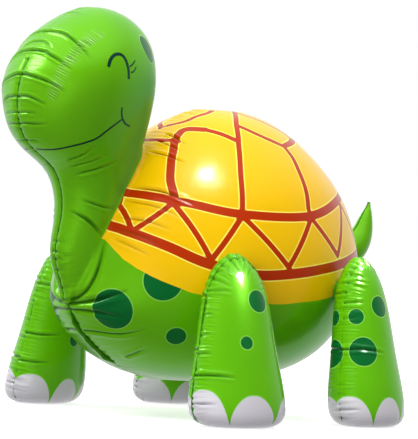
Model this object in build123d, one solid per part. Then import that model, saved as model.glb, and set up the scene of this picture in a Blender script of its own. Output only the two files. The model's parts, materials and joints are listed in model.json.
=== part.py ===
"""Inflatable turtle float: a film body with a head, four stand-up legs and a tail.

Each inflated chamber is two film panels welded along one seam. Millimetres, +Z up, the turtle
looks along -Y and stands on z = 0. Work happens about the shell's middle, and every piece is
moved by FRAME_SHIFT_Y when it is written, so that the origin is under the middle of the whole.
"""
import math
import os

from build123d import *

# ---- driving dimensions -------------------------------------------------------------------
FILM = 1.0               # wall of every film panel, thicker than the real film
FRAME_SHIFT_Y = 50.3     # from the shell's middle to the middle of the whole length
SECTION_POINTS = 16      # points round each oval section

# Ovals from the belly to the crown: height, front y, back y, half width, y of the widest point
SHELL = [
    (50, -118, 2, 42, -55),
    (55, -143, 37, 70, -55),
    (72, -194, 98, 112, -44),
    (100, -238, 146, 146, -30),
    (145, -277, 184, 170, -22),
    (195, -277, 206, 179, -18),
    (240, -261, 206, 179, -17),
    (280, -243, 195, 171, -19),
    (315, -223, 180, 159, -22),
    (350, -198, 155, 139, -25),
    (385, -163, 120, 110, -28),
    (412, -124, 84, 79, -30),
    (431, -86, 42, 44, -30),
    (438, -62, 12, 22, -30),
]

# Ovals from the pinch at the chest to the top of the head
NECK_AND_HEAD = [
    (150, -282, -268, 6, -275),
    (165, -291, -255, 14, -275),
    (185, -299, -243, 23, -272),
    (215, -309, -228, 31, -269),
    (250, -307, -216, 37, -264),
    (285, -302, -205, 43, -259),
    (315, -307, -197, 49, -257),
    (340, -322, -189, 57, -262),
    (362, -354, -182, 67, -275),
    (388, -378, -176, 79, -288),
    (422, -386, -171, 93, -296),
    (456, -384, -168, 101, -298),
    (486, -372, -170, 99, -291),
    (515, -352, -177, 87, -280),
    (541, -324, -195, 66, -270),
    (558, -296, -222, 41, -264),
    (565, -280, -247, 18, -263),
]

# Leg outline: height as a share of the leg's height, width as a share of its full width
LEG_OUTLINE = [
    (0.000, 0.62),
    (0.010, 0.77),
    (0.035, 0.91),
    (0.088, 0.99),
    (0.155, 1.00),
    (0.310, 0.93),
    (0.480, 0.83),
    (0.660, 0.74),
    (0.800, 0.63),
    (0.905, 0.47),
    (0.965, 0.29),
    (1.000, 0.10),
]

# Leg: height, half depth fore and aft, half width, place x and y of the foot's centre, sideways
# lean of the top (negative is inwards) and turn about Z in degrees
FRONT_LEG = dict(height=228, half_depth=70, half_width=48, x=222, y=-152, lean=-34, turn=-13)
REAR_LEG = dict(height=231, half_depth=62, half_width=49, x=221, y=90, lean=-30, turn=9)

PAD_R = 20               # welded pad between a leg and the shell
PAD_HEIGHT = 186         # height of the pad's centre
PAD_REACH = dict(front=34.8, rear=32.8)    # from the leg's middle line to the pad's free face

SLEEVE_WIDTH = 26        # self-sealing valve sleeves
SLEEVE_LENGTH = 110
LEG_SLEEVE_LENGTH = 70
LEG_VALVE_HEIGHT = 130
LEG_VALVE_REACH = 0.8    # share of the leg's half depth that its sleeve reaches to the rear
TAB_WIDTH = 26           # the filling tab outside the belly seam
TAB_LENGTH = 24
VALVE_Y = 188            # where the valve crosses the belly seam
VALVE_Z = 150
VALVE_ANGLE = -20        # the seam's outward direction there, above the horizontal

# Tail, root to tip: y, z, radius, direction above the horizontal
TAIL = [
    (211.0, 232, 6, 15),
    (214.0, 233, 12, 15),
    (227.0, 236, 18, 20),
    (245.0, 245, 21, 37),
    (262.0, 262, 19, 56),
    (272.5, 284, 13.5, 73),
    (277.5, 304, 7.5, 80),
    (280.0, 320, 2, 82),
]
TAIL_PATCH_R = 9
TAIL_PATCH_LENGTH = 4
TAIL_PATCH_MIDDLE = (206.4, 231)    # y, z; its outer face stays clear of the wagging tail


# ---- shapes ---------------------------------------------------------------------------------
def oval(z, front, back, half, widest, x=0.0):
    """A closed smooth section: two half-ellipses that share the width across their joint."""
    points = []
    for i in range(SECTION_POINTS):
        a = 2 * math.pi * i / SECTION_POINTS
        reach = back - widest if math.sin(a) > 0 else widest - front
        points.append((x + half * math.cos(a), widest + reach * math.sin(a), z))
    return Face(Wire([Spline(*points, periodic=True)]))


def skin(sections, lean=0.0):
    """A solid through all the sections. lean is the sideways shift for each unit of height."""
    return loft([oval(*s, x=lean * s[0]) for s in sections])


def inset(sections, wall):
    """The same sections moved inwards by the wall, square to the surface."""
    last = len(sections) - 1
    inner = []
    for i, (z, front, back, half, widest) in enumerate(sections):
        below = sections[max(i - 1, 0)]
        above = sections[min(i + 1, last)]
        slope = math.atan2(above[3] - below[3], above[0] - below[0])
        side = wall * math.cos(slope)
        rise = wall * math.sin(slope)
        if i == 0:
            rise = wall
        if i == last:
            rise = -wall
        inner.append((z + rise, front + side, back - side, half - side, widest))
    return inner


def plate(y, z, angle, start, end, width, thickness):
    """A flat film strip in the middle plane, from start to end along its direction."""
    strip = Box(thickness, end - start, width)
    return Pos(0, y, z) * Rot(angle, 0, 0) * Pos(0, (start + end) / 2, 0) * strip


def write(shape, node):
    """Write one node in the row frame."""
    solid = Pos(0, FRAME_SHIFT_Y, 0) * shape
    solid.label = node
    export_step(solid, f"parts/{node}.step")


# ---- body -----------------------------------------------------------------------------------
def body_outer():
    return skin(SHELL) + skin(NECK_AND_HEAD)


def body_inner():
    return skin(inset(SHELL, FILM)) + skin(inset(NECK_AND_HEAD, FILM))


def make_body(outer, inner):
    """Left and right panels, the valve sleeve inside and the filling tab outside."""
    film = outer - inner
    left = split(film, Plane.YZ, keep=Keep.TOP)
    sleeve = plate(VALVE_Y, VALVE_Z, VALVE_ANGLE, -SLEEVE_LENGTH, 5, SLEEVE_WIDTH, FILM) & inner
    tab = plate(VALVE_Y, VALVE_Z, VALVE_ANGLE, -5, TAB_LENGTH, TAB_WIDTH, FILM) - outer
    write(left, "body_left_panel")
    write(mirror(left, Plane.YZ), "body_right_panel")
    write(sleeve, "body_valve_sleeve")
    write(tab, "body_filling_tab")


# ---- legs -----------------------------------------------------------------------------------
def leg_sections(leg):
    rows = []
    for share, width in LEG_OUTLINE:
        depth = leg["half_depth"] * width
        rows.append((leg["height"] * share, -depth, depth, leg["half_width"] * width, 0.0))
    return rows


def leg_pieces(leg, reach):
    """The leg's pieces in its own frame: its foot's centre at the origin, X outwards."""
    lean = leg["lean"] / leg["height"]
    sections = leg_sections(leg)
    outer = skin(sections, lean)
    inner = skin(inset(sections, FILM), lean)
    floor = Pos(0, 0, FILM / 2) * Box(4 * leg["half_depth"], 4 * leg["half_depth"], FILM)
    wall = outer - inner - floor
    seam_plane = Plane(origin=(0, 0, 0), x_dir=(0, 1, 0), z_dir=(1, 0, -lean))
    pad_x = lean * PAD_HEIGHT - reach
    pad = Pos(pad_x + reach / 2, 0, PAD_HEIGHT) * Rot(0, 90, 0) * Cylinder(PAD_R, reach)
    valve_y = leg["half_depth"] * LEG_VALVE_REACH
    sleeve_y = valve_y - LEG_SLEEVE_LENGTH / 2
    sleeve = Pos(lean * LEG_VALVE_HEIGHT, sleeve_y, LEG_VALVE_HEIGHT) * Box(
        FILM, LEG_SLEEVE_LENGTH, SLEEVE_WIDTH)
    return {
        "outer_panel": split(wall, seam_plane, keep=Keep.TOP),
        "inner_panel": split(wall, seam_plane, keep=Keep.BOTTOM),
        "sole": outer & floor,
        "pad": pad - outer,
        "valve_sleeve": sleeve & inner,
    }


def make_legs():
    for end, leg in (("front", FRONT_LEG), ("rear", REAR_LEG)):
        place = Pos(leg["x"], leg["y"], 0) * Rot(0, 0, leg["turn"])
        for piece, solid in leg_pieces(leg, PAD_REACH[end]).items():
            placed = place * solid
            write(placed, f"{end}_left_leg_{piece}")
            write(mirror(placed, Plane.YZ), f"{end}_right_leg_{piece}")


# ---- tail -----------------------------------------------------------------------------------
def tail_skin(stations, wall):
    """A tapering round horn through the stations, thinner by the wall."""
    rounds = []
    for y, z, r, angle in stations:
        rise = math.radians(angle)
        plane = Plane(origin=(0, y, z), x_dir=(1, 0, 0), z_dir=(0, math.cos(rise), math.sin(rise)))
        rounds.append(plane * Circle(r - wall))
    return loft(rounds)


def make_tail(outer):
    horn = tail_skin(TAIL, 0) - tail_skin(TAIL[1:-1], FILM)
    left = split(horn, Plane.YZ, keep=Keep.TOP)
    rise = TAIL[0][3]
    disc = Rot(-90 + rise, 0, 0) * Cylinder(TAIL_PATCH_R, TAIL_PATCH_LENGTH)
    patch = Pos(0, *TAIL_PATCH_MIDDLE) * disc - outer
    write(left, "tail_left_panel")
    write(mirror(left, Plane.YZ), "tail_right_panel")
    write(patch, "tail_patch")


def main():
    os.makedirs("parts", exist_ok=True)
    outer = body_outer()
    make_body(outer, body_inner())
    make_legs()
    make_tail(outer)


main()
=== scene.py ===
"""Inflatable turtle float: film chambers with welded seams, puckers and a printed skin."""
import json
import math

import bmesh
import bpy
import numpy as np
from mathutils import Matrix, Vector
from mathutils.bvhtree import BVHTree
from mathutils.kdtree import KDTree
from numpy.linalg import norm


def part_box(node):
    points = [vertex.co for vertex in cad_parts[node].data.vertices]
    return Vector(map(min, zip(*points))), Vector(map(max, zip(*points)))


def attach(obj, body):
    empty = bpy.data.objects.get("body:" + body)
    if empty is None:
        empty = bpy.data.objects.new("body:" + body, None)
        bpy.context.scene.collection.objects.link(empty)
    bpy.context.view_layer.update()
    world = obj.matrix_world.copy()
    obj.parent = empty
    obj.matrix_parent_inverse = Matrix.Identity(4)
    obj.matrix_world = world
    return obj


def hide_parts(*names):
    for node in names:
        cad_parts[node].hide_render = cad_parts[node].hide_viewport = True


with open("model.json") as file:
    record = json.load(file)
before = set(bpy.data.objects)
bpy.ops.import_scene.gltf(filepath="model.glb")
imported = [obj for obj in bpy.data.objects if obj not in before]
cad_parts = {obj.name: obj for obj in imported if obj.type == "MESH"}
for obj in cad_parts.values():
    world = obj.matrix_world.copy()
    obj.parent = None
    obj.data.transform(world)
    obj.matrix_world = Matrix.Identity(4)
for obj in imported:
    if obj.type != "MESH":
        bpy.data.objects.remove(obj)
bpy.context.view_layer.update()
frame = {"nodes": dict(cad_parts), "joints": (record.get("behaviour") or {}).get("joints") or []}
NODES = frame["nodes"]
BODY_LOW, BODY_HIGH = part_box("body_left_panel")
MM = 0.001
FAR = 1.0                # a distance beyond every edge of the print, in metres
NEAR_LINE = 60 * MM      # farther points don't get their true distance to a line
FINE_BAND = 9 * MM       # the body's mesh is finer this near to its seam and creases
SOFT_EDGE = 0.5 * MM     # how far a printed edge is blurred
random = np.random.default_rng(7)


# ---- places ----
def side(length, height):
    """A place in the side view, from percent of the body's length and height."""
    return (BODY_LOW.y + (BODY_HIGH.y - BODY_LOW.y) * length / 100,
            BODY_LOW.z + (BODY_HIGH.z - BODY_LOW.z) * height / 100)


def smooth_line(points, step=3 * MM):
    """Points along a Catmull-Rom curve through the given points, about one step apart."""
    p = np.array(points, float)
    p = np.vstack([2 * p[0] - p[1], p, 2 * p[-1] - p[-2]])
    out = []
    for i in range(1, len(p) - 2):
        a, b, c, d = p[i - 1:i + 3]
        n = max(2, int(norm(c - b) / step))
        t = np.linspace(0, 1, n, endpoint=False)[:, None]
        out.append(0.5 * (2 * b + (c - a) * t + (2 * a - 5 * b + 4 * c - d) * t ** 2
                          + (3 * b - a - 3 * c + d) * t ** 3))
    return np.vstack(out + [p[-2:-1]])


def straight_line(points, step=3 * MM):
    """Points along straight runs between the given points."""
    p = np.array(points, float)
    out = []
    for a, b in zip(p[:-1], p[1:]):
        n = max(2, int(norm(b - a) / step))
        out.append(a + (b - a) * np.linspace(0, 1, n, endpoint=False)[:, None])
    return np.vstack(out + [p[-1:]])


def run_along(line):
    """How far along the line each of its points is."""
    return np.r_[0, np.cumsum(norm(np.diff(line, axis=0), axis=1))]


def directions(loop, span):
    """Which way the closed loop runs at each of its points."""
    way = np.roll(loop, -span, 0) - np.roll(loop, span, 0)
    return way / norm(way, axis=1)[:, None]


def distance_to_line(points, line):
    """Distance of every point to a polyline, and how far along it the nearest place is."""
    best = np.full(len(points), 1e9)
    along = np.zeros(len(points))
    run = run_along(line)
    low, high = line.min(0) - NEAR_LINE, line.max(0) + NEAR_LINE
    near = np.where(((points > low) & (points < high)).all(1))[0]
    q = points[near]
    d_near, a_near = best[near], along[near]
    for i in range(len(line) - 1):
        a, b = line[i], line[i + 1]
        ab = b - a
        t = np.clip(((q - a) @ ab) / max(ab @ ab, 1e-12), 0, 1)
        d = norm(q - a - t[:, None] * ab, axis=1)
        better = d < d_near
        d_near[better] = d[better]
        a_near[better] = run[i] + t[better] * (run[i + 1] - run[i])
    best[near], along[near] = d_near, a_near
    return best, along / max(run[-1], 1e-9)


# ---- meshes from the CAD skin ----
def island_of(face):
    """All faces joined to this one."""
    found, todo = {face}, [face]
    while todo:
        for edge in todo.pop().edges:
            new = set(edge.link_faces) - found
            found |= new
            todo += new
    return found


def outer_skin(name):
    """The outside of a panel that ends in the middle plane, with its open edge there."""
    bm = bmesh.new()
    bm.from_mesh(NODES[name].data)
    bmesh.ops.remove_doubles(bm, verts=bm.verts, dist=1e-6)
    rim = [f for f in bm.faces if all(abs(v.co.x) < 5e-5 for v in f.verts)]
    bmesh.ops.delete(bm, geom=rim, context="FACES")
    keep = island_of(max(bm.faces, key=lambda f: max(abs(v.co.x) for v in f.verts)))
    bmesh.ops.delete(bm, geom=[f for f in bm.faces if f not in keep], context="FACES")
    return bm


def seam_loop(bm):
    """The open edge in the middle plane, as one ordered loop of points."""
    links = {}
    for e in [e for e in bm.edges if len(e.link_faces) == 1]:
        for v in e.verts:
            links.setdefault(v, []).append(e.other_vert(v))
    start = max(links, key=lambda v: v.co.z)
    loop, last, here = [start], None, start
    while True:
        ahead = [v for v in links[here] if v is not last]
        if not ahead or ahead[0] is start:
            break
        last, here = here, ahead[0]
        loop.append(here)
    return np.array([(0.0, v.co.y, v.co.z) for v in loop])


def even_loop(loop, step=2 * MM):
    """The closed loop again, in even steps."""
    p = np.vstack([loop, loop[:1]])
    run = run_along(p)
    s = np.linspace(0, run[-1], int(run[-1] / step), endpoint=False)
    return np.stack([np.interp(s, run, p[:, k]) for k in range(3)], 1), run[-1]


def add_object(name, data):
    """A new object in the scene for a mesh, lamp or camera."""
    obj = bpy.data.objects.new(name, data)
    bpy.context.scene.collection.objects.link(obj)
    return obj


def modify(obj, kind, **settings):
    """Puts what a modifier does into the object's own mesh."""
    modifier = obj.modifiers.new(kind, kind)
    for key, value in settings.items():
        setattr(modifier, key, value)
    depsgraph = bpy.context.evaluated_depsgraph_get()
    mesh = bpy.data.meshes.new_from_object(obj.evaluated_get(depsgraph))
    obj.modifiers.clear()
    obj.data = mesh


def rows_of(items, key):
    """This vector of every item, one row each."""
    values = np.empty(len(items) * 3)
    items.foreach_get(key, values)
    return values.reshape(-1, 3)


def coordinates(mesh):
    """Every vertex's place."""
    return rows_of(mesh.vertices, "co")


def normals(mesh):
    """Every vertex's normal."""
    return rows_of(mesh.vertex_normals, "vector")


def set_coordinates(mesh, co):
    """Moves the vertices to these places."""
    mesh.vertices.foreach_set("co", co.ravel())
    mesh.update()


def mirrored(places):
    """The same places on the left side."""
    return np.abs(places * [1, 0, 0]) + places * [0, 1, 1]


def wear(obj, film):
    """The object's one material."""
    obj.data.materials.clear()
    obj.data.materials.append(film)


def chamber(name, left_panel, voxel):
    """A closed even mesh over a two-panel chamber, with its seam loop and its skin's tree."""
    bm = outer_skin(left_panel)
    loop, length = even_loop(seam_loop(bm))
    half = bm.verts[:] + bm.edges[:] + bm.faces[:]
    other = bmesh.ops.duplicate(bm, geom=half)["geom"]
    for v in [g for g in other if isinstance(g, bmesh.types.BMVert)]:
        v.co.x = -v.co.x
    turned = [g for g in other if isinstance(g, bmesh.types.BMFace)]
    bmesh.ops.reverse_faces(bm, faces=turned)
    bmesh.ops.remove_doubles(bm, verts=bm.verts, dist=2e-5)
    tree = BVHTree.FromBMesh(bm)
    mesh = bpy.data.meshes.new(name)
    bm.to_mesh(mesh)
    bm.free()
    obj = add_object(name, mesh)
    modify(obj, "REMESH", mode="VOXEL", voxel_size=voxel)
    modify(obj, "SMOOTH", iterations=12)
    snap(obj.data, tree)
    modify(obj, "SUBSURF", levels=1)
    snap(obj.data, tree)
    return obj, loop, length, tree


def snap(mesh, tree):
    """Puts every vertex on the CAD skin."""
    co = coordinates(mesh)
    for i, p in enumerate(co):
        co[i] = tree.find_nearest(Vector(p))[0]
    set_coordinates(mesh, co)


def refine(obj, near, cuts):
    """Cuts the faces that the test picks into finer ones."""
    bm = bmesh.new()
    bm.from_mesh(obj.data)
    bm.faces.ensure_lookup_table()
    centres = np.array([f.calc_center_median() for f in bm.faces])
    picked = np.where(near(centres))[0]
    edges = {e for i in picked for e in bm.faces[i].edges}
    bmesh.ops.subdivide_edges(bm, edges=list(edges), cuts=cuts, use_grid_fill=True)
    bm.to_mesh(obj.data)
    bm.free()


def attribute(mesh, name, values):
    """A number on every vertex, for the materials."""
    layer = mesh.attributes.get(name) or mesh.attributes.new(name, "FLOAT", "POINT")
    layer.data.foreach_set("value", np.asarray(values, np.float32))


# ---- seam puckers ----
def seam_bend(loop, span=14):
    """How sharply the seam turns outwards at each of its points, from 0, flat or hollow, to 1."""
    before = np.roll(loop, span, 0)
    after = np.roll(loop, -span, 0)
    a, b = loop - before, after - loop
    a /= norm(a, axis=1)[:, None]
    b /= norm(b, axis=1)[:, None]
    turn = a[:, 1] * b[:, 2] - a[:, 2] * b[:, 1]
    turn *= np.sign(turn.sum())
    reach = norm(after - before, axis=1) / 2
    bend = np.clip(turn / reach * 0.11, 0, 1)
    kernel = np.hanning(15)
    wide = np.r_[bend[-30:], bend, bend[:30]]
    return np.convolve(wide, kernel / kernel.sum(), "same")[30:-30]


def pucker_places(length, pitch):
    """Uneven places along the seam."""
    places, s = [], 0.0
    while s < length - pitch * 0.6:
        places.append(s)
        s += pitch * random.uniform(0.62, 1.45)
    return np.array(places)


def seam_distance(points, loop):
    """Each point's place along the seam, as an index, and its distance from it."""
    tree = KDTree(len(loop))
    for i, p in enumerate(loop):
        tree.insert(Vector(p), i)
    tree.balance()
    where = np.empty(len(points), int)
    away = np.empty(len(points))
    for i, p in enumerate(points):
        _, where[i], away[i] = tree.find(Vector(p))
    return where, away


def seam_height(where, away, loop, length, pitch, depth, reach, dip, groove=1.0, gather=1.0):
    """The film's height near its seam: a groove at the weld, and gathers across it.

    groove and gather scale the two at each point of the loop. Also gives how deep each point lies
    in the groove and in the puckers' valleys, from 0 to 1, for painted shade there.
    """
    step = length / len(loop)
    bend = seam_bend(loop) * gather
    groove = np.broadcast_to(groove, len(loop))
    s = where * step
    h = -dip * groove[where] * np.exp(-(away / (4 * MM)) ** 1.5)
    # Painted shade, darkest in the weld's groove
    inside = 0.8 * np.clip(groove[where] * dip / (2.2 * MM), 0, 1)
    inside *= np.clip(1.3 - away / (1.3 * MM), 0, 1)
    gain = 0.25 + 0.75 * bend[where]
    h += 0.35 * depth * gain * (np.exp(-away / (0.7 * reach)) - np.exp(-away / (5 * MM)))
    for place in pucker_places(length, pitch):
        i = int(place / step) % len(loop)
        deep = depth * random.uniform(0.45, 1.25) * (0.12 * groove[i] + bend[i])
        far = reach * random.uniform(0.45, 1.5) * (0.5 + 0.6 * bend[i])
        lean = random.uniform(-0.25, 0.25)
        gap = (s - place - lean * away + length / 2) % length - length / 2
        wide = (1.6 + 0.05 * away / MM) * MM
        fade = np.clip(1 - away / far, 0, 1) ** 1.2
        valley = np.exp(-(np.abs(gap) / wide) ** 1.3)
        ridge = np.exp(-((np.abs(gap) - 2.6 * wide) / (1.5 * wide)) ** 2)
        h += deep * fade * (0.35 * ridge - valley)
        # Painted shade in each pucker's valley
        inside = np.maximum(inside, fade * valley * min(1, deep / (2.6 * MM)) * 0.8)
    return h, inside


def crease_height(points, crease_lines):
    """Long creases, each a sharp valley with a soft ridge on both sides, and how deep in one, for
    painted shade in its bottom.

    A crease fades out at its end, and in over the share of its length that ease says.
    """
    h = np.zeros(len(points))
    inside = np.zeros(len(points))
    for line, depth, wide, ease in crease_lines:
        d, along = distance_to_line(points, line)
        fade = np.clip((1 - along) / 0.45, 0, 1) ** 0.8
        fade *= np.clip((along + 0.01) / (ease + 0.01), 0, 1)
        valley = np.exp(-(d / wide) ** 1.15)
        ridge = np.exp(-((d - 2.7 * wide) / (1.6 * wide)) ** 2)
        h += depth * fade * (0.4 * ridge - valley)
        # Painted shade along the crease's bottom
        dark = fade * np.clip(1.25 - d / (0.9 * wide), 0, 1) * min(1, depth / (3 * MM))
        inside = np.maximum(inside, dark)
    return h, inside


# ---- print ----
def nearest_left(points, tree):
    """The nearest places on the skin, on its left side."""
    near = [tree.find_nearest(Vector(p))[0] for p in points]
    return np.array([(abs(p.x), p.y, p.z) for p in near])


def on_skin(places, tree, line=smooth_line):
    """The side view line, in percent, laid on the left skin."""
    hits = []
    for _, y, z in line([(0, *side(*p)) for p in places], 1 * MM):
        hit = tree.ray_cast(Vector((0.5, y, z)), Vector((-1, 0, 0)))[0]
        if hit is None:
            hit = tree.find_nearest(Vector((0, y, z)))[0]
        hits.append((abs(hit.x), hit.y, hit.z))
    even = straight_line(hits, 2.5 * MM)
    even = even[np.r_[True, norm(np.diff(even, axis=0), axis=1) > 1e-5]]
    keep = [even[0]]
    for p in even[1:]:
        if norm(p - keep[-1]) > 2 * MM:
            keep.append(p)
    return nearest_left(keep + [even[-1]], tree)


def side_distance(y, z, a, b):
    """Distance in the side view to the straight run from a to b."""
    dy, dz = b[0] - a[0], b[1] - a[1]
    t = ((y - a[0]) * dy + (z - a[1]) * dz) / max(dy * dy + dz * dz, 1e-12)
    t = np.clip(t, 0, 1)
    return np.hypot(y - a[0] - t * dy, z - a[1] - t * dz)


def region(points, corners):
    """Distance to a closed outline in the side view, negative inside it."""
    c = np.array(corners, float)
    y, z = points[:, 1], points[:, 2]
    inside = np.zeros(len(points), bool)
    best = np.full(len(points), 1e9)
    for a, b in zip(c, np.roll(c, -1, 0)):
        best = np.minimum(best, side_distance(y, z, a, b))
        slope = (b[0] - a[0]) / (b[1] - a[1] or 1e-12)
        inside ^= ((a[1] > z) != (b[1] > z)) & (y < slope * (z - a[1]) + a[0])
    return np.where(inside, -best, best)


def across_line(points, line):
    """Signed distance to one side or the other of a drawn line, and the distance past its ends."""
    d, _ = distance_to_line(points, line)
    y, z = points[:, 1], points[:, 2]
    sign = np.ones(len(points))
    best = np.full(len(points), 1e9)
    for a, b in zip(line[:-1], line[1:]):
        away = side_distance(y, z, a[1:], b[1:])
        nearer = away < best
        best[nearer] = away[nearer]
        passed = (y - a[1]) * (b[2] - a[2]) - (z - a[2]) * (b[1] - a[1])
        sign[nearer] = np.sign(passed)[nearer]
    start = line[min(3, len(line) - 1)] - line[0]
    end = line[-1] - line[max(-4, -len(line))]
    before = (line[0] - points) @ (start / norm(start))
    after = (points - line[-1]) @ (end / norm(end))
    near_start = norm(points - line[0], axis=1) < norm(points - line[-1], axis=1)
    return sign * d, np.where(near_start, before, after)


# Places in the side view, as percent of the body's length from the nose and height from below
NECK_EDGE = [(21.8, 37.9), (25.1, 45.6), (28.4, 51.5), (31.6, 56.3), (34.4, 60.6), (36.5, 65.0),
             (39.8, 70.3), (41.5, 77.7)]
SHELL_RIM = [(22.4, 37.9), (23.5, 32.8), (27.4, 28.7), (33.2, 25.7), (37.5, 24.3), (54.4, 22.6),
             (64.5, 23.4), (74.8, 25.0), (90.5, 30.1), (100, 34.2), (112, 38)]
ZIGZAG = [(26.4, 49.4), (25.9, 40.4), (33.6, 48.4), (39.2, 33.7), (47.3, 45.9), (59.0, 32.7),
          (67.3, 46.5), (76.6, 36.4), (82.9, 51.2), (91.3, 37.9), (95.9, 55.9)]
# The shell's other lines: rings, ribs and those on top, each with its width in mm
STROKES = [
    (12.5, [(22, 52.0), (28.2, 50.6), (36.0, 48.7), (47.4, 46.4), (66.7, 46.9), (82.6, 52.2),
            (95.5, 56.2), (101, 58)]),
    (14, [(19, 44.6), (23.9, 41.5), (25.7, 40.0), (30.7, 36.9), (38.9, 32.6), (51.7, 30.2),
          (73.6, 33.2), (91.7, 38.0), (99.9, 41.2)]),
    (12, [(34.3, 50.3), (34.9, 54.6), (36.7, 59.2), (38.5, 62.4), (41.0, 66.0), (44.4, 68.9),
          (47.8, 69.2)]),
    (8, [(47.5, 47.2), (49.5, 56.7), (52.2, 63.9), (54.2, 67.7), (56.4, 71.1), (59.1, 73.5),
         (62.4, 75.4)]),
    (9, [(66.9, 48.8), (67.8, 54.0), (68.0, 59.3), (68.2, 62.9), (67.4, 66.0)]),
    (9, [(47.8, 69.2), (50.4, 68.2), (52.9, 66.6)]),
    (8, [(41.0, 65.4), (39.2, 65.7), (37.6, 65.6)]),
    (8, [(42.6, 69.3), (44.4, 70.3), (47.0, 71.5), (50.0, 73.0), (52.8, 74.0), (55.6, 75.0)]),
    (9, [(56.4, 71.0), (61.5, 68.3), (67.3, 66.0)]),
    (8, [(67.3, 66.0), (74.2, 68.6), (68.8, 72.2), (61.9, 75.0)]),
    (8, [(67.3, 66.0), (73, 67.4), (78.2, 69.0)]),
]
# Spots on the left side: the centre as x in mm, length and height, and the radius in mm
BODY_SPOTS = [((68, 22.0, 19.2), 29), ((119, 29.6, 27.6), 27), ((116, 34.7, 13.0), 14)]
# The oval spot on the head: centre, direction of its long axis in y and z, and its two radii
HEAD_SPOT = ((73, 27.9, 89.4), (0.55, -0.84), 21, 15)
# The face's lines, each with half its width in mm
FACE = {
    "eye": (2.5, [(13.3, 83.1), (14.0, 85.0), (15.1, 86.3), (16.4, 86.8), (17.6, 86.5),
                  (18.5, 85.1), (19.1, 82.8), (19.3, 80.4)]),
    "lash_a": (1.2, [(19.5, 83.7), (20.5, 84.4), (21.6, 85.6)]),
    "lash_b": (1.2, [(19.9, 82.2), (20.9, 82.6), (21.8, 83.9)]),
    "mouth": (1.5, [(5.2, 60.9), (5.9, 60.8), (7.3, 61.0), (9.3, 61.9), (11.7, 63.0),
                    (14.0, 64.3), (15.8, 66.2), (17.8, 68.2), (19.6, 69.8)]),
    "cheek": (1.6, [(18.6, 72.9), (19.0, 71.2), (19.8, 69.9), (21.2, 68.7), (23.1, 68.2)]),
}
# Long creases: places in the side view, depth and width in mm. The head's start at the seam.
HEAD_CREASES = [
    ([(8.2, 91.8), (8.5, 89.2), (9.6, 84.6)], 3.4, 1.6),
    ([(5.4, 89.7), (4.8, 87.2)], 1.8, 1.4),
    ([(4.1, 86.6), (4.2, 85.2), (5.9, 81.4)], 3.4, 1.5),
    ([(0.9, 80.4), (1.4, 79.4), (4.9, 75.7)], 3.2, 1.5),
    ([(0.5, 74.6), (0.9, 73.8), (2.4, 72.2)], 2.8, 1.4),
    ([(0.5, 70.3), (1.0, 70.1), (1.6, 69.9)], 1.8, 1.3),
    ([(1.0, 67.4), (2.2, 67.2), (3.4, 67.4)], 2.4, 1.4),
    ([(3.4, 63.1), (4.1, 63.0)], 2.0, 1.4),
]
# The band of fine ribs where the head's creases end
COMB = [(14.6, 93.2), (10.4, 89.7), (8.1, 87.1), (5.7, 83.5), (3.5, 78.4), (2.4, 73.8)]
THROAT_CREASES = [
    ([(10.8, 58.1), (12.6, 59.6), (14.2, 62.0)], 2.0, 1.6),
    ([(12.0, 56.4), (15.0, 58.0), (18.6, 60.4)], 1.6, 1.5),
    ([(13.7, 54.6), (17.3, 56.3), (21.8, 58.8)], 2.2, 1.7),
    ([(16.2, 48.0), (20.3, 46.6), (24.5, 46.0)], 2.4, 1.4),
    ([(14.7, 45.0), (18.4, 41.9), (22.3, 38.1)], 3.0, 1.5),
    ([(16.0, 44.6), (19.6, 41.3), (22.6, 38.7)], 2.2, 1.4),
]
CHEST_CREASES = [
    ([(17.4, 19.9), (20.8, 22.6), (23.8, 24.7)], 4.6, 2.6),
    ([(17.8, 21.2), (19.2, 26.6), (21.3, 34.2), (22.6, 38.4)], 4.2, 3.4),
    ([(17.4, 19.0), (20.2, 18.2), (24.0, 17.2)], 3.0, 2.4),
    ([(21.8, 13.0), (25.3, 12.6), (28.4, 14.6)], 3.0, 2.0),
    ([(30.4, 6.6), (30.8, 8.3), (31.0, 9.3)], 2.0, 2.0),
]
SHELL_CREASES = [
    ([(29.2, 52.2), (32.8, 51.4), (37.4, 48.2)], 3.4, 1.7),
    ([(35.6, 62.3), (37.0, 61.5), (39.2, 59.4)], 2.8, 1.5),
    ([(41.2, 67.8), (41.3, 67.0), (41.6, 64.6)], 3.0, 1.5),
    ([(38.6, 65.6), (38.8, 64.9), (39.8, 62.6)], 2.4, 1.4),
    ([(27.0, 48.6), (30.8, 47.2), (34.4, 44.4)], 1.6, 1.8),
    ([(25.2, 43.9), (28.6, 43.2), (31.9, 41.1)], 1.8, 1.8),
    ([(23.8, 40.7), (27.2, 38.9), (30.0, 36.0)], 1.6, 1.8),
    ([(23.2, 38.2), (25.6, 35.8), (28.0, 33.7)], 1.4, 1.8),
]


# Round the neck and the shell's front: height, half width, middle y and depth from it, in mm
NECK_OUTLINE = [(285, 43, -209, 54), (315, 49, -207, 60), (340, 57, -212, 73), (362, 67, -225, 93),
                (388, 79, -238, 112), (422, 93, -246, 125)]
SHELL_OUTLINE = [(280, 171, 31, 224), (315, 159, 28, 201), (350, 139, 25, 173), (385, 110, 22, 135),
                 (412, 79, 20, 94), (432, 42, 20, 56)]


def nearer_shell(points):
    """Below 0 where a place belongs to the shell's outline rather than to the neck's."""
    share = []
    for outline in (NECK_OUTLINE, SHELL_OUTLINE):
        z, half, middle, depth = np.array(outline, float).T * MM
        across = points[:, 0] / np.interp(points[:, 2], z, half)
        along = points[:, 1] - np.interp(points[:, 2], z, middle)
        along /= np.interp(points[:, 2], z, depth)
        share.append(np.hypot(across, along))
    return (share[1] - share[0]) * 80 * MM


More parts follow.
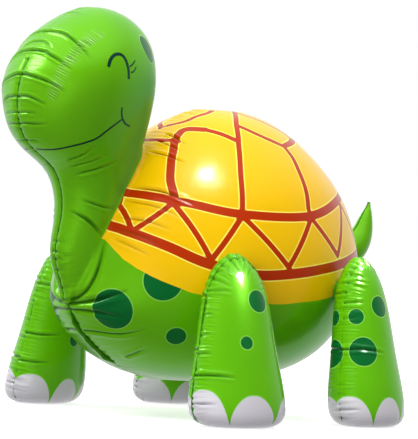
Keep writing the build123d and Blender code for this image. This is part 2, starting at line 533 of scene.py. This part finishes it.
def from_seam(line, loop, tree):
    """The line again, led on over the skin from its start to the nearest place on the seam."""
    start = loop[np.argmin(norm(loop[:, 1:] - line[0, 1:], axis=1))]
    led = straight_line(np.vstack([start, line]), 2 * MM)
    for _ in range(30):
        led[1:-1] = (led[:-2] + 2 * led[1:-1] + led[2:]) / 4
    return np.vstack([start, nearest_left(led[1:], tree)])


def body_creases(tree, loop):
    """The body's long creases, laid on the left skin: line, depth, width and ease."""
    lines = []
    for table, ease in ((HEAD_CREASES, 0.0), (THROAT_CREASES, 0.25), (CHEST_CREASES, 0.0),
                        (SHELL_CREASES, 0.25)):
        for places, depth, wide in table:
            line = on_skin(places, tree)
            if table is HEAD_CREASES:
                line = from_seam(line, loop, tree)
            lines.append((line, depth * MM, wide * MM, ease))
    return lines


def print_shell(mesh, points):
    """Below 0 where the film is printed as shell."""
    neck, rim = ([tuple(p) for p in smooth_line([side(*p) for p in edge], 12 * MM)]
                 for edge in (NECK_EDGE, SHELL_RIM))
    back_y, top_z = side(125, 130)
    outline = rim + [(back_y, rim[-1][1]), (back_y, top_z), (neck[-1][0], top_z)] + neck[::-1]
    shell = region(points, outline)
    _, merge_z = side(0, 47.5)
    upper = np.clip((points[:, 2] - merge_z) / (20 * MM), 0, 1)
    split = nearer_shell(points)
    shell = np.where(shell < -40 * MM, shell, shell * (1 - upper) + split * upper)
    _, chin_z = side(0, 76)
    attribute(mesh, "shell", np.where(points[:, 2] > chin_z, 50 * MM, shell))


def print_pattern(mesh, points, tree):
    """Below 0 in the lines of the shell's pattern."""
    ink = np.full(len(points), FAR)
    for wide, places in STROKES + [(8, ZIGZAG)]:
        line = straight_line if places is ZIGZAG else smooth_line
        d, _ = distance_to_line(points, on_skin(places, tree, line))
        ink = np.minimum(ink, d - wide / 2 * MM)
    attribute(mesh, "ink", ink)


def from_centre(points, place, tree):
    """Every point's way from a place on the left skin, given as x in mm, length and height."""
    x, length, height = place
    centre = tree.find_nearest(Vector((x * MM, *side(length, height))))[0]
    return points - np.array(centre)


def print_spots(mesh, points, tree):
    """Below 0 in the dark green spots."""
    spot = np.full(len(points), FAR)
    for place, r in BODY_SPOTS:
        away = from_centre(points, place, tree)
        spot = np.minimum(spot, norm(away, axis=1) - r * MM)
    place, (lean_y, lean_z), long_r, short_r = HEAD_SPOT
    away = from_centre(points, place, tree)
    axis = np.array([0, lean_y, lean_z]) / math.hypot(lean_y, lean_z)
    along = away @ axis
    other = np.sqrt(np.maximum((away ** 2).sum(1) - along ** 2, 0))
    share = np.hypot(along / long_r, other / short_r) / MM
    attribute(mesh, "spot", np.minimum(spot, (share - 1) * short_r * MM))


def print_face(mesh, points, tree):
    """Distances to the face's drawn lines, and past their ends."""
    for name, (_, places) in FACE.items():
        across, past = across_line(points, on_skin(places, tree))
        attribute(mesh, name, across)
        attribute(mesh, name + "_past", past)


def mark_comb(mesh, points, tree):
    """The band of fine ribs on the head: places along it, and how strong they are."""
    band = on_skin(COMB, tree)
    d, along = distance_to_line(points, band)
    run = norm(np.diff(band, axis=0), axis=1).sum()
    attribute(mesh, "comb_s", along * run)
    ends = np.clip(along / 0.08, 0, 1) * np.clip((1 - along) / 0.08, 0, 1)
    attribute(mesh, "comb", np.clip(1 - (d / (12 * MM)) ** 2, 0, 1) * ends)


# ---- shader graphs ----
def colour(r, g, b):
    """A display colour as linear light."""
    return tuple(((c / 255 + 0.055) / 1.055) ** 2.4 if c > 10 else c / 255 / 12.92
                 for c in (r, g, b)) + (1.0,)


class Graph:
    """A material, or a world, that is built up from values."""

    def __init__(self, name, family=bpy.data.materials, shader="Principled BSDF"):
        self.owner = family.new(name)
        self.owner.use_nodes = True
        self.tree = self.owner.node_tree
        self.inputs = self.tree.nodes[shader].inputs

    def node(self, kind, inputs=(), **settings):
        """A new node with its settings and inputs."""
        n = self.tree.nodes.new(kind)
        for key, value in settings.items():
            setattr(n, key, value)
        for key, value in dict(inputs).items():
            self.put(n.inputs[key], value)
        return n

    def put(self, socket, value):
        """Links the socket to another one, or sets it to a number or colour."""
        if isinstance(value, bpy.types.NodeSocket):
            self.tree.links.new(value, socket)
        else:
            socket.default_value = value

    def set(self, values):
        """Sets or links the shader's own sockets."""
        for name, value in values.items():
            self.put(self.inputs[name], value)

    def value(self, name):
        """The number that the mesh keeps under this name."""
        return self.node("ShaderNodeAttribute", attribute_name=name).outputs["Fac"]

    def math(self, operation, *values, clamp=False):
        """What this operation makes of the values."""
        n = self.node("ShaderNodeMath", operation=operation, use_clamp=clamp)
        for socket, v in zip(n.inputs, values):
            self.put(socket, v)
        return n.outputs[0]

    def times(self, *values, clamp=False):
        """The two values' product."""
        return self.math("MULTIPLY", *values, clamp=clamp)

    def below(self, value, edge=0.0, soft=SOFT_EDGE):
        """1 where the value is under the edge, 0 above it."""
        gap = self.math("SUBTRACT", edge, value)
        return self.math("MULTIPLY_ADD", gap, 1 / soft, 0.5, clamp=True)

    def mix(self, share, a, b):
        """Colour a, and this share of colour b over it."""
        n = self.node("ShaderNodeMix", data_type="RGBA")
        self.put(n.inputs["Factor"], share)
        self.put(n.inputs[6], a)
        self.put(n.inputs[7], b)
        return n.outputs[2]

    def noise(self, place, scale=1.0, detail=1.0):
        """Noise from 0 to 1 at this place."""
        n = self.node("ShaderNodeTexNoise", inputs={
            "Vector": place, "Scale": scale, "Detail": detail})
        return n.outputs["Fac"]

    def clouds(self, scale, detail):
        """Noise over the object."""
        place = self.node("ShaderNodeTexCoord").outputs["Object"]
        return self.noise(place, scale, detail)

    def stripes(self, place, pitch):
        """Uneven stripes across a run, from -0.5 to 0.5."""
        turns = self.times(place, 1 / pitch)
        corner = self.node("ShaderNodeCombineXYZ", inputs={"X": self.times(turns, 0.6)})
        drift = self.times(self.noise(corner.outputs[0]), 2.0)
        wave = self.math("SINE", self.times(self.math("ADD", turns, drift), 2 * math.pi))
        return self.times(wave, 0.5)

    def ribs(self, pitch, low, high, soft):
        """Fine ribs square to the seam, from -0.5 to 0.5, between two distances from it."""
        s, w = self.value("seam_s"), self.value("seam_w")
        place = self.node("ShaderNodeCombineXYZ", inputs={
            "X": self.times(s, 1 / pitch), "Y": self.times(w, 12.0)})
        wave = self.math("SUBTRACT", self.noise(place.outputs[0]), 0.5)
        band = self.times(self.below(low, w, soft), self.below(w, high, soft))
        return self.times(wave, band)

    def finish(self, base, height, metallic, coat=0.42, coat_roughness=0.11, specular=0.15):
        """The shader of a shiny film, its colour and its height in metres given."""
        bump = self.node("ShaderNodeBump", inputs={"Height": height, "Distance": 1.0})
        self.set({"Base Color": base, "Specular Tint": base, "Metallic": metallic,
                  "Roughness": 0.3, "Specular IOR Level": specular, "Coat Weight": coat,
                  "Coat Roughness": coat_roughness, "Normal": bump.outputs[0],
                  "Coat Normal": bump.outputs[0]})
        return self.owner


GREEN = colour(114, 198, 12)
GREEN_DEEP = colour(98, 182, 9)
DARK_GREEN = colour(0, 108, 44)
LINE_GREEN = colour(0, 58, 44)
PALE_GREEN = colour(140, 214, 84)
# Painted shade on the head's and neck's side towards the shell
SHADE_GREEN = colour(92, 176, 96)
# Painted shade in folds and creases, and between the head's ribs
FOLD_SHADE_GREEN = colour(8, 72, 4)
# Painted highlight on the head's fine ribs
RIB_HIGHLIGHT_GREEN = colour(206, 246, 168)
LEG_GREEN = colour(110, 200, 8)
LEG_GREEN_DEEP = colour(94, 184, 5)
YELLOW = colour(243, 192, 2)
PALE_YELLOW = colour(255, 236, 96)
# Painted shade in the shell's folds
FOLD_SHADE_YELLOW = colour(120, 76, 0)
ORANGE = colour(182, 47, 0)
NAIL = colour(220, 217, 224)
# Painted shade in the nails' folds
FOLD_SHADE_NAIL = colour(110, 106, 116)


def film_height(g, ribs=()):
    """Soft waves and a fine grain of the stretched film, and any ribs."""
    height = g.math("ADD", g.times(g.clouds(28, 2), 0.5 * MM),
                    g.times(g.clouds(420, 2), 0.01 * MM))
    for wave, tall in ribs:
        height = g.math("ADD", g.times(wave, tall), height)
    return height


def face_print(g, base):
    """The face's lines over the base."""
    for name, (half, _) in FACE.items():
        across = g.math("ABSOLUTE", g.value(name))
        past = g.value(name + "_past")
        inner = g.math("MAXIMUM", g.math("SUBTRACT", across, half * MM), past)
        base = g.mix(g.below(inner), base, LINE_GREEN)
    return base


def edged(g, place, edge, base, rim, fill):
    """The fill where the place is below 0, with a paler rim as wide as the edge round it."""
    base = g.mix(g.below(place, edge), base, rim)
    return g.mix(g.below(place), base, fill)


def body_material():
    """Green film with spots and a face, yellow film with the shell's pattern; painted shade in
    folds and towards the shell, painted highlights on the head's ribs.
    """
    g = Graph("printed_body_film")
    green = g.mix(g.clouds(9, 1), GREEN_DEEP, GREEN)
    green = edged(g, g.value("spot"), 1.4 * MM, green, PALE_GREEN, DARK_GREEN)
    green = face_print(g, green)
    stripes = g.times(g.stripes(g.value("comb_s"), 3.6 * MM), g.value("comb"))
    patchy = g.math("MULTIPLY_ADD", g.clouds(34, 1), 4.0, -1.4, clamp=True)
    stripes = g.times(stripes, patchy)
    # Painted highlights on the ribs' crests and painted shade between them; the same stripes bump
    # the film
    green = g.mix(g.times(stripes, 1.1, clamp=True), green, RIB_HIGHLIGHT_GREEN)
    green = g.mix(g.times(stripes, -0.4, clamp=True), green, FOLD_SHADE_GREEN)
    # Painted shade in the folds, on the green film
    fold_shade = g.times(g.value("fold_shade"), 0.9, clamp=True)
    green = g.mix(fold_shade, green, FOLD_SHADE_GREEN)
    on_shell = g.below(g.value("shell"))
    # The head's and neck's side towards the shell gets painted shade, darker and more blue-grey,
    # and is duller
    back = g.times(g.value("back"), g.math("SUBTRACT", 1.0, on_shell))
    green = g.mix(g.times(back, 0.5), green, SHADE_GREEN)
    gloss = g.math("SUBTRACT", 1.0, g.times(back, 0.85))
    shell = edged(g, g.value("ink"), 1.8 * MM, YELLOW, PALE_YELLOW, ORANGE)
    # Painted shade in the shell's folds
    shell = g.mix(fold_shade, shell, FOLD_SHADE_YELLOW)
    metal = g.math("MULTIPLY_ADD", on_shell, -0.24, 0.24)
    gathers = g.ribs(5 * MM, 3 * MM, 34 * MM, 12 * MM)
    return g.finish(g.mix(on_shell, green, shell),
                    film_height(g, [(gathers, 0.8 * MM), (stripes, 1.2 * MM)]),
                    metallic=g.times(gloss, metal),
                    coat=g.times(gloss, 0.42),
                    coat_roughness=g.math("MULTIPLY_ADD", on_shell, 0.11, 0.11),
                    specular=g.times(gloss, 0.15))


def leg_material():
    """Green film with spots and white nails, with painted shade in the folds."""
    g = Graph("printed_leg_film")
    green = g.mix(g.clouds(9, 1), LEG_GREEN_DEEP, LEG_GREEN)
    green = edged(g, g.value("spot"), 1.3 * MM, green, PALE_GREEN, DARK_GREEN)
    # Painted shade in the folds, on the green film and on the nails
    fold_shade = g.times(g.value("fold_shade"), 0.9, clamp=True)
    nail = g.value("nail")
    green = g.mix(g.below(nail, 1.2 * MM), green, PALE_GREEN)
    green = g.mix(fold_shade, green, FOLD_SHADE_GREEN)
    base = g.mix(g.below(nail), green, g.mix(fold_shade, NAIL, FOLD_SHADE_NAIL))
    gathers = g.ribs(4.6 * MM, 2 * MM, 24 * MM, 8 * MM)
    return g.finish(base, film_height(g, [(gathers, 1.9 * MM)]), metallic=0.06, coat=0.6,
                    coat_roughness=0.13)


def plain_film(name, tint, metallic=0.2):
    """Film of one colour, a little darker in places."""
    g = Graph(name)
    darker = tuple(c * 0.85 for c in tint[:3]) + (1.0,)
    return g.finish(g.mix(g.clouds(20, 2), tint, darker), film_height(g), metallic)


# ---- pieces ----
def seam_lip(name, loop, plane_normal, inner, reach, wave, material):
    """The welded edge, a thin waving strip from inside the seam to the reach outside it."""
    n = len(loop)
    normal = np.array(plane_normal, float)
    out = np.cross(directions(loop, 2), normal)
    out *= np.sign(((loop - loop.mean(0)) * out).sum())
    rough = random.normal(0, 1, n)
    kernel = np.hanning(9) / np.hanning(9).sum()
    rough = np.convolve(np.r_[rough, rough[:8]], kernel, "valid")[:n]
    step = np.arange(n)
    sway = wave * (0.6 * np.sin(step * 0.9 + 2 * np.sin(step * 0.13)) + rough)
    reach = np.broadcast_to(reach, n) * (1 + 0.35 * rough)
    half = 0.3 * MM      # of its thickness
    rows = []
    for far, across in ((0, -half), (0.55, -half), (1, -half), (1, half), (0.55, half), (0, half)):
        place = loop + out * (-inner + far * (inner + reach))[:, None]
        rows.append(place + normal * (across + far * sway)[:, None])
    verts = np.stack(rows, 1).reshape(-1, 3)
    k = len(rows)
    faces = [(i * k + j, i * k + (j + 1) % k, (i + 1) % n * k + (j + 1) % k, (i + 1) % n * k + j)
             for i in range(n) for j in range(k)]
    mesh = bpy.data.meshes.new(name)
    mesh.from_pydata(verts.tolist(), [], faces)
    mesh.update()
    obj = add_object(name, mesh)
    wear(obj, material)
    mesh.shade_smooth()
    fix_normals(obj)
    return obj


def fix_normals(obj):
    """Turns every face outwards."""
    bm = bmesh.new()
    bm.from_mesh(obj.data)
    bmesh.ops.recalc_face_normals(bm, faces=bm.faces)
    bm.to_mesh(obj.data)
    bm.free()


def facing_back(mesh, points):
    """1 where the head and neck face back towards the shell, fading to 0 at their sides: where they
    get painted shade.
    """
    back = np.clip((normals(mesh)[:, 1] - 0.05) / 0.4, 0, 1)
    _, low_z = side(0, 36)
    _, high_z = side(0, 92)
    z = points[:, 2]
    lower, upper = (z - low_z) / (30 * MM), (high_z - z) / (60 * MM)
    return back * np.clip(lower, 0, 1) * np.clip(upper, 0, 1)


def swell(obj, points, height):
    """Moves the film in or out along its normals."""
    set_coordinates(obj.data, points + normals(obj.data) * height[:, None])
    obj.data.shade_smooth()


def mark_seam(obj, points, loop):
    """Keeps each point's place along the seam and its distance from it, for the materials."""
    where, away = seam_distance(points, loop)
    past = ((points - loop[where]) * directions(loop, 1)[where]).sum(1)
    attribute(obj.data, "seam_s", run_along(loop)[where] + past)
    attribute(obj.data, "seam_w", away)
    return where, away


def declare(obj, lip, body, panels):
    """The film and its welded edge ride on the body, and the film stands for the CAD panels."""
    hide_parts(*panels)
    for piece in (obj, lip):
        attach(piece, body)


def body_lip_reach(loop):
    """How far the body's welded edge reaches: it shows at the chest only."""
    chest_y, chest_z = side(32, 19.4)
    chest = (loop[:, 1] < chest_y) & (loop[:, 2] < chest_z - 8 * MM)
    reach = np.where(chest, 4 * MM, -1.3 * MM)
    return np.convolve(np.r_[reach[-7:], reach, reach[:7]], np.ones(15) / 15, "valid")


def make_body(film, lip_film):
    """The shell, neck and head, finer where creases and the seam are."""
    obj, loop, length, tree = chamber("body_film", "body_left_panel", 5.4 * MM)
    modify(obj, "SMOOTH", iterations=6)
    creases = body_creases(tree, loop)

    def near(centres):
        close = np.full(len(centres), FAR)
        for line, *_ in creases:
            close = np.minimum(close, distance_to_line(mirrored(centres), line)[0])
        _, away = seam_distance(centres, loop)
        return (close < FINE_BAND) | (away < FINE_BAND)

    refine(obj, near, 1)
    modify(obj, "SMOOTH", iterations=2)
    mesh = obj.data
    points = coordinates(mesh)
    left = mirrored(points)
    print_shell(mesh, left)
    for marks in (print_pattern, print_spots, print_face, mark_comb):
        marks(mesh, left, tree)
    attribute(mesh, "back", facing_back(mesh, points))
    where, away = mark_seam(obj, points, loop)
    face_y, face_z = side(14, 60)
    front_y, brow_z = side(32, 85)
    face = (loop[:, 1] < face_y) & (loop[:, 2] > face_z)
    front = (loop[:, 1] < front_y) & (loop[:, 2] < brow_z)
    height, inside = seam_height(where, away, loop, length, 13 * MM, 2.4 * MM, 24 * MM, 2.6 * MM,
                                 groove=np.where(front, 1.0, 0.15),
                                 gather=np.where(face, 0.25, 1.0))
    folds, deep = crease_height(left, creases)
    # Painted shade in the seam's groove, the puckers and the creases
    attribute(mesh, "fold_shade", np.maximum(inside, deep))
    swell(obj, points, height + folds)
    wear(obj, film)
    lip = seam_lip("body_seam", loop, (1, 0, 0), 3 * MM, body_lip_reach(loop), 0.7 * MM, lip_film)
    declare(obj, lip, "body", ["body_left_panel", "body_right_panel"])


def make_tail(film, lip_film):
    """The tail's horn with its small gathers."""
    obj, loop, length, _ = chamber("tail_film", "tail_left_panel", 2.6 * MM)
    modify(obj, "SMOOTH", iterations=4)
    points = coordinates(obj.data)
    where, away = seam_distance(points, loop)
    height, _ = seam_height(where, away, loop, length, 9 * MM, 0.8 * MM, 9 * MM, 0.7 * MM)
    swell(obj, points, height)
    wear(obj, film)
    lip = seam_lip("tail_seam", loop, (1, 0, 0), 1.5 * MM, 0.8 * MM, 0.25 * MM, lip_film)
    declare(obj, lip, "tail", ["tail_left_panel", "tail_right_panel"])


# Nails: angle of the middle from the front seam to the outside, half angle, and height in mm
FRONT_NAILS = [(19, 31, 50), (92, 42, 45), (163, 29, 43), (-20, 32, 44),
               (-84, 31, 38), (-150, 34, 36)]
REAR_NAILS = [(16, 32, 43), (80, 32, 43), (140, 28, 41), (-25, 38, 40), (-93, 30, 36),
              (-150, 27, 36)]
# Spots on the left legs: x, y and z of the centre, and radius, in mm
FRONT_SPOTS = [((230, -84, 171), 15.5), ((242, -110, 115), 9), ((168, -89, 95), 9)]
REAR_SPOTS = [((195, 95, 150), 11), ((227, 103, 154), 10.8), ((232, 141, 169), 15),
              ((242, 106.5, 106), 20.3), ((201, 89, 100), 20), ((230, 178, 112), 9)]
# Long creases out of the front seam: height in mm, angle reached, depth in mm
FRONT_LEG_CREASES = [(181, 52, 3.2), (68, 62, 3.4), (150, 24, 1.6), (122, 20, 1.2), (97, 24, 1.6),
                     (206, 74, 2.2), (64, -44, 2.8), (104, -58, 3.0), (176, -60, 2.8),
                     (30, 36, 2.4)]
REAR_LEG_CREASES = [(107, 84, 3.0), (200, 62, 3.0), (213, 54, 2.2), (172, 42, 2.4), (150, 24, 1.2),
                    (24, 30, 2.0), (108, -50, 2.6), (186, -46, 2.4)]


TOP_SWELL = 6 * MM       # how far the gathered top of a leg stands over the CAD leg's top
LEG_COLUMNS = 128        # of the leg's mesh, round it


class Leg:
    """One leg's CAD skin, and its own directions from the middle of its foot."""

    def __init__(self, prefix):
        self.panels = [f"{prefix}_{part}" for part in ("outer_panel", "inner_panel", "sole")]
        bm = bmesh.new()
        for name in self.panels:
            bm.from_mesh(NODES[name].data)
        self.tree = BVHTree.FromBMesh(bm)
        self.top = max((v.co.copy() for v in bm.verts), key=lambda c: c.z)
        bm.free()
        low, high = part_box(self.panels[2])
        self.foot = (low + high) / 2
        self.foot.z = 0
        self.mirror = 1 if self.foot.x > 0 else -1
        joint = next(j for j in frame["joints"] if j["name"] == prefix + "_swing")
        self.out = Vector(joint["axis"])
        self.out *= self.mirror if self.out.x > 0 else -self.mirror
        self.fore = Vector((self.out.y, -self.out.x, 0)) * self.mirror
        self.rise = self.top - self.foot

    def towards(self, angle):
        """The direction at this angle from the front seam to the outside."""
        return self.fore * math.cos(angle) + self.out * math.sin(angle)

    def outside(self, centre, direction):
        """Where the skin is in this direction from the centre."""
        hit = self.tree.ray_cast(centre + direction * 0.3, -direction)[0]
        return hit if hit is not None else self.tree.find_nearest(centre)[0]

    def ring(self, centre, tilt=0.0):
        """Places all round the skin, from the centre, in directions tilted up from level."""
        up = Vector((0, 0, math.sin(tilt)))
        return [self.outside(centre, self.towards(a) * math.cos(tilt) + up)
                for a in np.linspace(0, 2 * math.pi, LEG_COLUMNS, endpoint=False)]


def leg_mesh(leg, name):
    """A closed even mesh over the leg's skin, with its seam loop and the loop's length."""
    # Rows over the top and under the foot, each looked at from one centre, and between these two
    neck, heel = leg.foot + leg.rise * 0.80, leg.foot + leg.rise * 0.07
    rows = [leg.ring(neck, math.radians(90 - 90 * k / 18)) for k in range(1, 18)]
    rows += [leg.ring(neck + (heel - neck) * k / 60) for k in range(61)]
    rows += [leg.ring(heel, -math.radians(90 * k / 12)) for k in range(1, 12)]
    verts = [p for row in rows for p in row]
    verts += [leg.outside(neck, Vector((0, 0, 1))), leg.outside(heel, Vector((0, 0, -1)))]
    for p in verts:
        p.z += TOP_SWELL * max(0, p.z / leg.top.z) ** 3
    tip, base = len(verts) - 2, len(verts) - 1
    last = tip - LEG_COLUMNS
    pairs = [(c, (c + 1) % LEG_COLUMNS) for c in range(LEG_COLUMNS)]
    faces = [(r + c, r + d, r + LEG_COLUMNS + d, r + LEG_COLUMNS + c)
             for r in range(0, last, LEG_COLUMNS) for c, d in pairs]
    faces += [(tip, d, c) for c, d in pairs]
    faces += [(base, last + c, last + d) for c, d in pairs]
    mesh = bpy.data.meshes.new(name)
    mesh.from_pydata([tuple(v) for v in verts], [], faces)
    obj = add_object(name, mesh)
    fix_normals(obj)
    modify(obj, "SUBSURF", levels=1)
    modify(obj, "SMOOTH", iterations=3)
    front = [row[0] for row in rows]
    rear = [row[LEG_COLUMNS // 2] for row in rows]
    seam = np.array([tuple(p) for p in front[::-1] + [verts[tip]] + rear])
    return obj, *even_loop(seam)


def print_leg(leg, mesh, points, spots, nails):
    """Below 0 in the dark green spots, and in the white nails."""
    spot = np.full(len(points), FAR)
    for (x, y, z), r in spots:
        place = Vector((x * MM * leg.mirror, y * MM, z * MM))
        centre = np.array(leg.tree.find_nearest(place)[0])
        spot = np.minimum(spot, norm(points - centre, axis=1) - r * MM)
    attribute(mesh, "spot", spot)
    up = points[:, 2]
    local = points - np.array(leg.foot) - np.outer(up / leg.rise.z, np.array(leg.rise))
    angle = np.degrees(np.arctan2(local @ np.array(leg.out), local @ np.array(leg.fore)))
    nail = np.full(len(points), FAR)
    for middle, half, tall in nails:
        u = ((angle - middle + 180) % 360 - 180) / half
        edge = tall * MM * np.clip(1 - np.abs(u) ** 2.3, 0, 1) ** 0.62
        beside = (np.abs(u) - 1) * half * MM
        nail = np.minimum(nail, np.maximum((up - edge) * 0.8, beside))
    attribute(mesh, "nail", nail)


def leg_creases(leg, creases):
    """The leg's long creases on its skin: line, depth, width and ease."""
    lines = []
    for tall, reach, depth in creases:
        centre = leg.foot + leg.rise * (tall * MM / leg.rise.z)
        line = [leg.outside(centre + Vector((0, 0, 1)) * 2 * MM * math.sin(3 * a), leg.towards(a))
                for a in np.radians(np.linspace(0, reach, 12))]
        lines.append((np.array([tuple(p) for p in line]), depth * MM, 1.4 * MM, 0.0))
    return lines


def make_leg(prefix, nails, spots, creases, film, lip_film, groove_depth):
    """One leg, with an uneven groove at its seam of about this depth."""
    leg = Leg(prefix)
    obj, loop, length = leg_mesh(leg, f"{prefix}_film")
    points = coordinates(obj.data)
    where, away = mark_seam(obj, points, loop)
    print_leg(leg, obj.data, points, spots, nails)
    groove = np.convolve(random.uniform(0, 1.3, len(loop) + 10), np.ones(11) / 11, "valid")
    groove = np.clip((groove - 0.5) * 3, 0.3, 1.2) * groove_depth
    height, inside = seam_height(where, away, loop, length, 12 * MM, 1.7 * MM, 22 * MM, 1.5 * MM,
                                 groove)
    folds, deep = crease_height(points, leg_creases(leg, creases))
    # Painted shade in the seam's groove, the puckers and the creases
    attribute(obj.data, "fold_shade", np.maximum(inside, deep))
    swell(obj, points, (height + folds) * np.clip(points[:, 2] / (4 * MM), 0, 1))
    wear(obj, film)
    plane = np.cross(np.array(leg.fore), np.array(leg.rise))
    reach = np.where(loop[:, 2] > 8 * MM, -0.2, -1.2) * MM
    lip = seam_lip(f"{prefix}_seam", loop, plane / norm(plane), 2.5 * MM, reach,
                   0.5 * MM, lip_film)
    declare(obj, lip, prefix, leg.panels)


def small_pieces(clear_film, weld_film):
    """The valve sleeves, the tab, the pads and the tail's patch keep their shapes."""
    for name, node in NODES.items():
        if name.endswith(("pad", "patch")):
            wear(node, weld_film)
        elif name.endswith(("sleeve", "tab")):
            wear(node, clear_film)


# ---- stage ----
def area_light(name, direction, distance, size, power, aim, spread=180, camera=True, glossy=True,
               diffuse=True):
    """A round lamp that looks at the aim from this direction, and what it is seen by."""
    light = bpy.data.lights.new(name, "AREA")
    light.shape = "ELLIPSE"
    light.size, light.size_y = size
    light.energy = power
    light.spread = math.radians(spread)
    obj = add_object(name, light)
    away = Vector(direction).normalized()
    obj.location = aim + away * distance
    obj.rotation_euler = away.to_track_quat("Z", "Y").to_euler()
    obj.visible_camera = camera
    obj.visible_glossy = glossy
    obj.visible_diffuse = diffuse


def make_floor():
    """A pale floor that lights nothing and isn't mirrored, as the photograph shows none."""
    bpy.ops.mesh.primitive_plane_add(size=120, location=(0, 0, -0.5 * MM))
    floor = bpy.context.object
    floor.name = "floor"
    g = Graph("floor")
    g.set({"Base Color": (0.9, 0.9, 0.9, 1), "Roughness": 0.9, "Specular IOR Level": 0.1,
           "Emission Color": (1, 1, 1, 1), "Emission Strength": 0.6})
    wear(floor, g.owner)
    floor.visible_diffuse = floor.visible_glossy = False


def leg_top(name):
    """A place a little under a leg's top, on its outer side."""
    low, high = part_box(f"{name}_outer_panel")
    return Vector(((low.x + high.x) / 2, (low.y + high.y) / 2, high.z - 30 * MM))


def make_lights(aim):
    """Soft studio lamps, two of them not mirrored in the film, and narrow ones for its gleams."""
    between_legs = Vector((BODY_HIGH.x * 0.83, *side(66.8, 42.7)))
    shell_side = Vector((BODY_HIGH.x * 0.62, *side(41.7, 56.5)))
    gleam = {"camera": False, "diffuse": False}
    area_light("rear_softbox", (0.51, -0.05, 0.87), 1.6, (0.4, 0.4), 0.06, between_legs, 6)
    area_light("shell_gleam", (0.37, -0.10, 0.92), 0.6, (0.12, 0.12), 0.028, shell_side, 5, **gleam)
    area_light("front_left_leg_gleam", (0.67, 0.20, 0.71), 0.5, (0.05, 0.16), 0.09,
               leg_top("front_left_leg"), 7, **gleam)
    area_light("rear_left_leg_gleam", (0.26, 0.18, 0.95), 0.5, (0.09, 0.12), 0.24,
               leg_top("rear_left_leg"), 7, **gleam)
    area_light("front_left", (-0.48, -0.62, 0.61), 2.0, (0.6, 0.6), 9.5, aim)
    area_light("front_fill", (0.5, -0.87, -0.05), 5.0, (4, 4), 215, aim, camera=False, glossy=False)
    area_light("overhead", (0.2, -0.25, 1), 2.4, (2.2, 2.2), 40, aim, glossy=False)


def make_world():
    """White above and on one side, dimmer where the turtle's face and left side look."""
    g = Graph("studio", bpy.data.worlds, "Background")
    bpy.context.scene.world = g.owner
    place = g.node("ShaderNodeTexCoord").outputs["Generated"]
    split = g.node("ShaderNodeSeparateXYZ", inputs={0: place})
    facing = g.node("ShaderNodeVectorMath", operation="DOT_PRODUCT",
                    inputs={0: place, 1: (0.77, -0.64, 0)})
    ramps = [g.node("ShaderNodeMapRange", interpolation_type="SMOOTHSTEP", inputs={
        "Value": source, "From Min": low, "From Max": high, "To Min": start, "To Max": end,
    }).outputs[0] for source, low, high, start, end in (
        (split.outputs["Z"], 0.4, 0.8, 0.0, 1.0),
        (facing.outputs["Value"], -0.7, 0.25, 1.0, 0.22))]
    g.set({"Strength": g.math("MAXIMUM", *ramps), "Color": (1, 1, 1, 1)})


# The camera, and the place that it looks at: beside the shell's middle, in metres
CAMERA_AZIMUTH = math.radians(50)
CAMERA_ELEVATION = math.radians(-0.5)
CAMERA_ROLL = math.radians(2.8)
CAMERA_DISTANCE = 4.0
CAMERA_LENS = 226.2
AIM_SHIFT = -0.026       # to the view's right
SHELL_MIDDLE_Y = 0.0503
AIM_HEIGHT = 0.281


def make_camera(aim):
    """The photograph's view, from the front and the turtle's left."""
    scene = bpy.context.scene
    data = bpy.data.cameras.new("camera")
    data.lens = CAMERA_LENS
    data.clip_end = 200
    camera = add_object("camera", data)
    flat = math.cos(CAMERA_ELEVATION)
    back = Vector((math.sin(CAMERA_AZIMUTH) * flat, -math.cos(CAMERA_AZIMUTH) * flat,
                   math.sin(CAMERA_ELEVATION)))
    level = Vector((math.cos(CAMERA_AZIMUTH), math.sin(CAMERA_AZIMUTH), 0))
    upright = back.cross(level)
    right = level * math.cos(CAMERA_ROLL) + upright * math.sin(CAMERA_ROLL)
    up = upright * math.cos(CAMERA_ROLL) - level * math.sin(CAMERA_ROLL)
    turn = Matrix((right, up, back)).transposed().to_4x4()
    camera.matrix_world = Matrix.Translation(aim + back * CAMERA_DISTANCE) @ turn
    scene.camera = camera
    scene.view_settings.view_transform = "Standard"


def main():
    """The whole scene around the CAD frame."""
    leg_film = leg_material()
    lip_film = plain_film("welded_edge", colour(70, 150, 20))
    make_body(body_material(), lip_film)
    make_tail(plain_film("tail_print", LEG_GREEN, 0.08), lip_film)
    for hand, front_groove in (("left", 1.8), ("right", 0.45)):
        make_leg(f"front_{hand}_leg", FRONT_NAILS, FRONT_SPOTS, FRONT_LEG_CREASES,
                 leg_film, lip_film, front_groove)
        make_leg(f"rear_{hand}_leg", REAR_NAILS, REAR_SPOTS, REAR_LEG_CREASES,
                 leg_film, lip_film, 0.4)
    small_pieces(plain_film("valve_film", colour(205, 214, 205)),
                 plain_film("weld_film", colour(60, 150, 20)))
    aim = Vector((math.cos(CAMERA_AZIMUTH) * AIM_SHIFT,
                  math.sin(CAMERA_AZIMUTH) * AIM_SHIFT + SHELL_MIDDLE_Y, AIM_HEIGHT))
    make_camera(aim)
    make_floor()
    make_world()
    make_lights(aim)


main()
